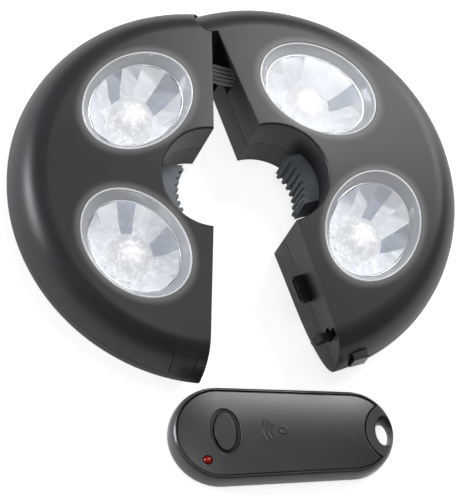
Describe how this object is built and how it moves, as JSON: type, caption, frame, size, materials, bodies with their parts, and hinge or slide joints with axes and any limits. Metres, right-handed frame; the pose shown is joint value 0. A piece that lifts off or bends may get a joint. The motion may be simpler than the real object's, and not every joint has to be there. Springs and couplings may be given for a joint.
{
  "type": "patio umbrella light",
  "caption": "Clip-on ring lamp for an umbrella pole: two hinged half rings with oval lamps, sprung ribbed grip pads and a latch, plus a hand-held remote.",
  "frame": {"origin": "axis of the pole opening of the left half ring, in the plane of the back, with the lamp lying on its back", "axes": "+Z out of the lamp face along the pole, +Y towards the hinge, +X from the left half towards the right half when shut"},
  "size_m": [0.2447, 0.268, 0.047],
  "materials": {
    "back_shell": "fine texture, charcoal",
    "front_shell": "fine texture, dark charcoal",
    "lens": "clear, moulded",
    "reflector": "bright metallised",
    "circuit_board": "solder mask",
    "led": "white emitters",
    "cell": "cell jackets",
    "contact": "nickel plated",
    "fastener": "zinc plated screws and pin",
    "grip_rubber": "ribbed, blue grey",
    "carrier_plastic": "moulded",
    "spring_wire": "spring wire",
    "switch_plastic": "moulded",
    "latch_plastic": "black, polished",
    "button_plastic": "moulded",
    "cable_sheath": "grey sleeves over stranded wire",
    "remote_shell": "polished rim",
    "remote_face": "satin face",
    "remote_key": "soft button",
    "red_lens": "translucent red"
  },
  "bodies": {
    "left_half": {"left_base_cover": "back_shell", "left_front_cover": "front_shell", "upper_left_lens": "lens", "upper_left_reflector": "reflector", "upper_left_led_board": "circuit_board", "upper_left_leds": "led", "lower_left_lens": "lens", "lower_left_reflector": "reflector", "lower_left_led_board": "circuit_board", "lower_left_leds": "led", "left_cells": "cell", "left_contacts": "contact", "left_battery_door": "back_shell", "left_door_screw": "fastener", "left_cover_screws": "fastener", "left_pad_spring": "spring_wire", "main_board": "circuit_board", "switch_body": "switch_plastic", "left_button_spring": "spring_wire", "hinge_pin": "fastener", "hinge_cable": "cable_sheath"},
    "left_pad": {"left_grip_pad": "grip_rubber", "left_pad_carrier": "carrier_plastic"},
    "release_key": {"left_release_button": "button_plastic"},
    "switch_knob": {"power_slider": "carrier_plastic"},
    "right_half": {"right_base_cover": "back_shell", "right_front_cover": "front_shell", "upper_right_lens": "lens", "upper_right_reflector": "reflector", "upper_right_led_board": "circuit_board", "upper_right_leds": "led", "lower_right_lens": "lens", "lower_right_reflector": "reflector", "lower_right_led_board": "circuit_board", "lower_right_leds": "led", "right_cells": "cell", "right_contacts": "contact", "right_battery_door": "back_shell", "right_door_screw": "fastener", "right_cover_screws": "fastener", "right_pad_spring": "spring_wire", "locating_tab": "latch_plastic", "right_latch_spring": "spring_wire", "terminal_block": "switch_plastic"},
    "right_pad": {"right_grip_pad": "grip_rubber", "right_pad_carrier": "carrier_plastic"},
    "latch": {"right_latch": "latch_plastic"},
    "remote": {"remote_base": "remote_shell", "remote_face_plate": "remote_face", "remote_led": "red_lens", "remote_board": "circuit_board", "remote_switch": "switch_plastic", "remote_cell": "cell", "remote_cell_clip": "contact", "remote_cell_door": "remote_shell", "remote_screws": "fastener"},
    "remote_key": {"remote_button": "remote_key"}
  },
  "joints": [
    {"name": "hinge", "type": "hinge", "parent": "left_half", "child": "right_half", "pos_m": [0, 0.096, 0], "axis": [0, 0, 1], "range_deg": [-21.2, 18.8], "deforming": ["hinge_cable"]},
    {"name": "left_pad_slide", "type": "slide", "parent": "left_half", "child": "left_pad", "axis": [-1, 0, 0], "range_m": [0, 0.0085], "stiffness_N_per_m": 900, "springref_m": -0.004, "deforming": ["left_pad_spring"]},
    {"name": "right_pad_slide", "type": "slide", "parent": "right_half", "child": "right_pad", "axis": [0.9323, 0.3616, 0], "range_m": [0, 0.0085], "stiffness_N_per_m": 900, "springref_m": -0.004, "deforming": ["right_pad_spring"]},
    {"name": "release_button_press", "type": "slide", "parent": "left_half", "child": "release_key", "axis": [0, 1, 0], "range_m": [0, 0.002], "stiffness_N_per_m": 800, "springref_m": -0.002, "deforming": ["left_button_spring"]},
    {"name": "latch_press", "type": "slide", "parent": "right_half", "child": "latch", "axis": [-0.3616, 0.9323, 0], "range_m": [0, 0.002], "stiffness_N_per_m": 800, "springref_m": -0.002, "deforming": ["right_latch_spring"]},
    {"name": "power_switch", "type": "slide", "parent": "left_half", "child": "switch_knob", "axis": [1, 0, 0], "range_m": [0, 0.005]},
    {"name": "remote_lift", "type": "slide", "parent": "left_half", "child": "remote", "axis": [0, 0, 1], "range_m": [0, 0.065]},
    {"name": "remote_button_press", "type": "slide", "parent": "remote", "child": "remote_key", "axis": [0, 0, -1], "range_m": [0, 0.0008], "stiffness_N_per_m": 900, "springref_m": -0.0008}
  ]
}
